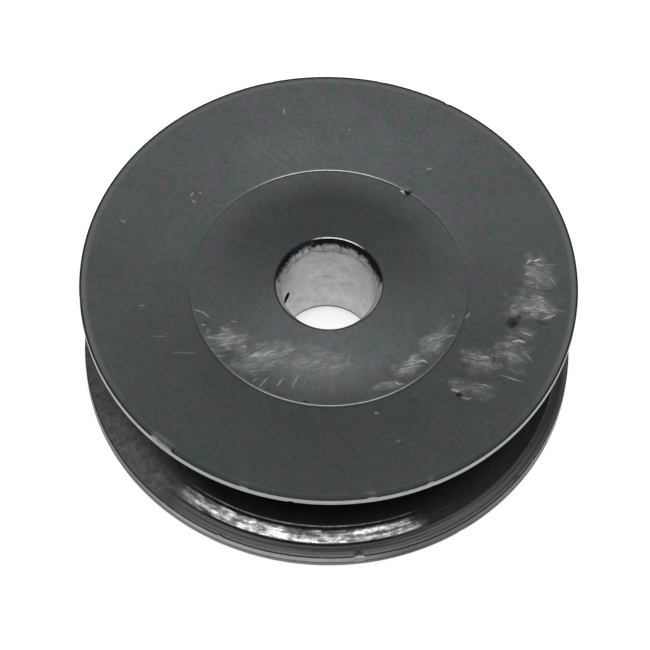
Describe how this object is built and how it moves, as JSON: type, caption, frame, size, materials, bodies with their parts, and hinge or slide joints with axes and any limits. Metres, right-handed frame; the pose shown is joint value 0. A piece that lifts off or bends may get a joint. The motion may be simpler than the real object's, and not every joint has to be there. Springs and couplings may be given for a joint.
{
  "type": "v belt pulley",
  "caption": "Small V belt pulley with dished flanges pressed on a hub, a light metal sleeve lining the plain bore, and a grub screw at the floor of the groove.",
  "frame": {"origin": "on the bore axis, halfway between the two faces", "axes": "+Z along the bore axis; +X outwards along the set screw, so the screw's joint axis is -X"},
  "size_m": [0.0636, 0.0636, 0.0176],
  "materials": {
    "blackened_steel": "satin black oxide, rubbed bright at the rims and where the belt runs",
    "bright_steel": "bare fine-bored metal, dull",
    "screw_steel": "black alloy steel"
  },
  "bodies": {
    "pulley": {"upper_flange": "blackened_steel", "lower_flange": "blackened_steel", "hub": "blackened_steel", "bore_sleeve": "bright_steel"},
    "screw": {"set_screw": "screw_steel"}
  },
  "joints": [
    {"name": "set_screw_travel", "type": "slide", "parent": "pulley", "child": "screw", "axis": [-1, 0, 0], "range_m": [-0.0015, 0.0018]}
  ]
}
